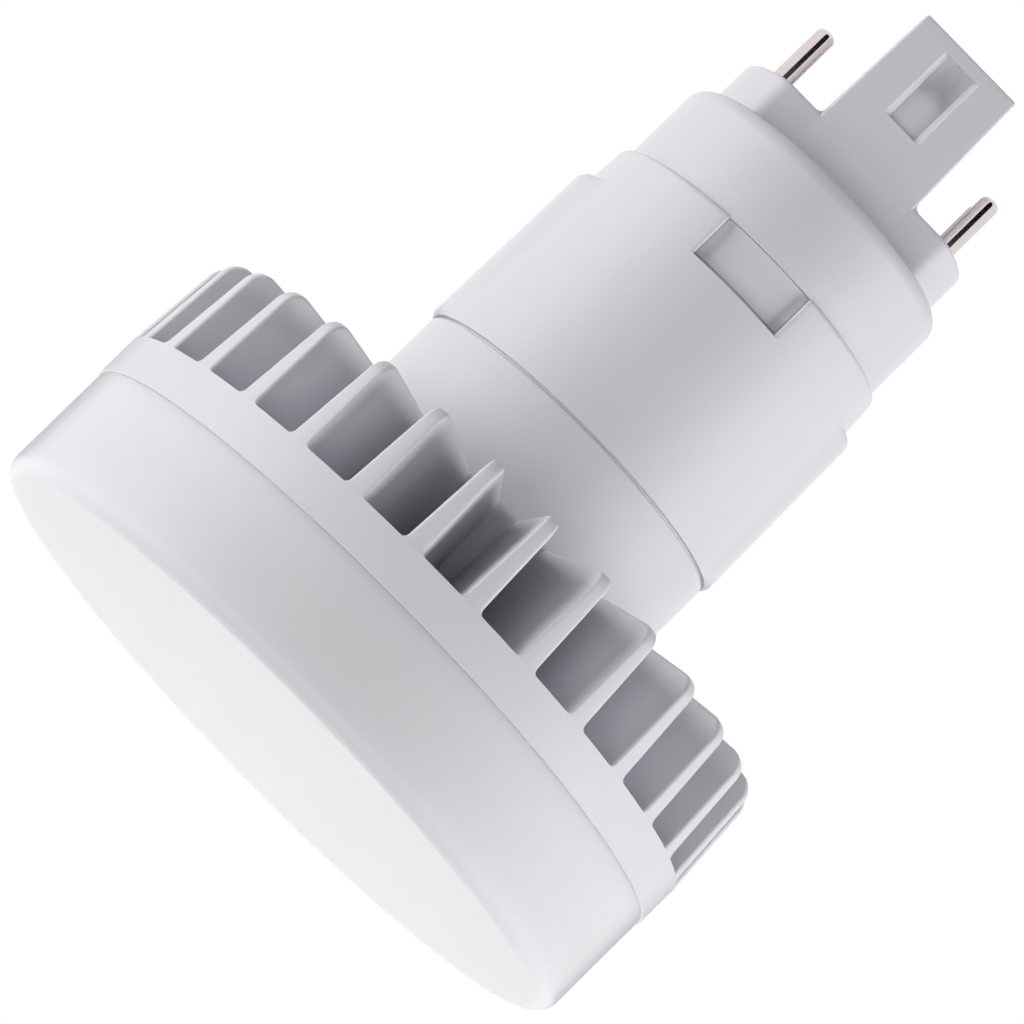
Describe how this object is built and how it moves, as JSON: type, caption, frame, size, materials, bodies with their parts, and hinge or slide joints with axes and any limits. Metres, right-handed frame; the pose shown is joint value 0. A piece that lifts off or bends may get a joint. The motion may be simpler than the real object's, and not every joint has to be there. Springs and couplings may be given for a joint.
{
  "type": "four-pin led lamp",
  "caption": "Plug-in LED lamp: flat round diffuser, radially finned heat sink, tapered driver sleeve, and a pin base with a tall keying post.",
  "frame": {"origin": "centre of the diffuser's flat face, which the lamp rests on", "axes": "+Z from the diffuser to the pins; -Y to the front, where the pictured latch window and recessed wide face of the post are; +X to the right seen from the front"},
  "size_m": [0.0784, 0.0784, 0.0993],
  "materials": {
    "diffuser": "milky satin",
    "heat_sink": "smooth satin",
    "sleeve": "satin",
    "base": "satin",
    "nickel": "bright nickel plate",
    "thermal_pad": "soft matt",
    "board_mask": "white solder mask on aluminium",
    "phosphor": "yellow window in a white frame",
    "steel": "zinc plated",
    "liner_plastic": "natural",
    "board_green": "green solder mask",
    "ferrite": "sintered, dark grey",
    "coil_tape": "yellow polyester tape",
    "capacitor_sleeve": "shrunk sleeve",
    "film_box": "moulded case",
    "black_epoxy": "moulded epoxy",
    "resistor_body": "cement coat",
    "wire_white": "insulation",
    "wire_red": "insulation"
  },
  "bodies": {
    "root": {"diffuser_cover": "diffuser", "heat_sink": "heat_sink", "driver_sleeve": "sleeve", "base_cap": "base", "contact_pin_front_left": "nickel", "contact_pin_front_right": "nickel", "contact_pin_rear_left": "nickel", "contact_pin_rear_right": "nickel", "thermal_pad": "thermal_pad", "led_board": "board_mask", "led_chips": "phosphor", "board_screws": "steel", "driver_liner": "liner_plastic", "driver_board": "board_green", "transformer_core": "ferrite", "transformer_winding": "coil_tape", "bulk_capacitor": "capacitor_sleeve", "output_capacitor": "capacitor_sleeve", "film_capacitor": "film_box", "bridge_rectifiers": "black_epoxy", "control_chip": "black_epoxy", "drum_inductor": "ferrite", "inrush_resistors": "resistor_body", "pin_wires": "wire_white", "led_wires": "wire_red"}
  },
  "joints": []
}
